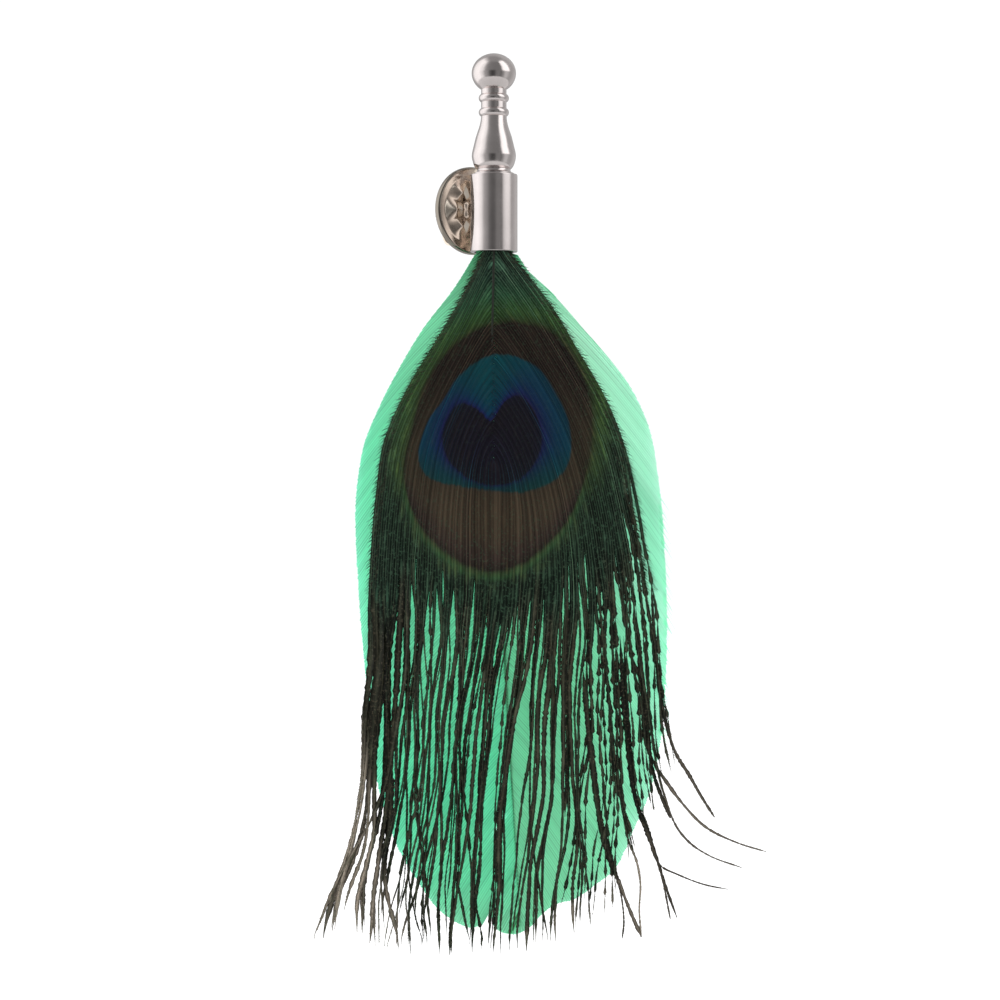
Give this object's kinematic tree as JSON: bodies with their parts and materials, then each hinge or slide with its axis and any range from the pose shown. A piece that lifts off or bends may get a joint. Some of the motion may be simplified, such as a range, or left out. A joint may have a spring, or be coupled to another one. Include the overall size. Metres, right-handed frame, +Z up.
{
  "type": "feather lapel pin",
  "caption": "Lapel pin with a turned metal finial and tube ferrule holding a peacock eye feather over a dyed green feather, worn on a post with a butterfly clutch.",
  "frame": {"origin": "where the post leaves the back of the ferrule, which is where the pin goes on", "axes": "+Z up along the ferrule and finial, with the feathers hanging down along -Z; -Y is the front of the feathers; +X is the wearer's left as the pin is seen from the front"},
  "size_m": [0.0556, 0.0149, 0.1165],
  "materials": {
    "polished_nickel": "polished nickel plate on brass, a little warm",
    "pressed_nickel": "thin nickel plate on pressed brass, warmer than the finial",
    "peacock_barbs": "natural peacock eye feather: green, bronze, teal and violet zones with a faint metallic sheen",
    "green_vane": "goose feather dyed mint green, translucent, with fine barbs"
  },
  "bodies": {
    "pin": {"finial": "polished_nickel", "ferrule": "polished_nickel", "peacock_feather": "peacock_barbs", "green_feather": "green_vane"},
    "clutch": {"clutch_cup": "pressed_nickel", "clutch_wings": "pressed_nickel"}
  },
  "joints": [
    {"name": "clutch_slide", "type": "slide", "parent": "pin", "child": "clutch", "axis": [-0.6018, 0.7986, 0], "range_m": [-0.0005, 0.0098]}
  ]
}
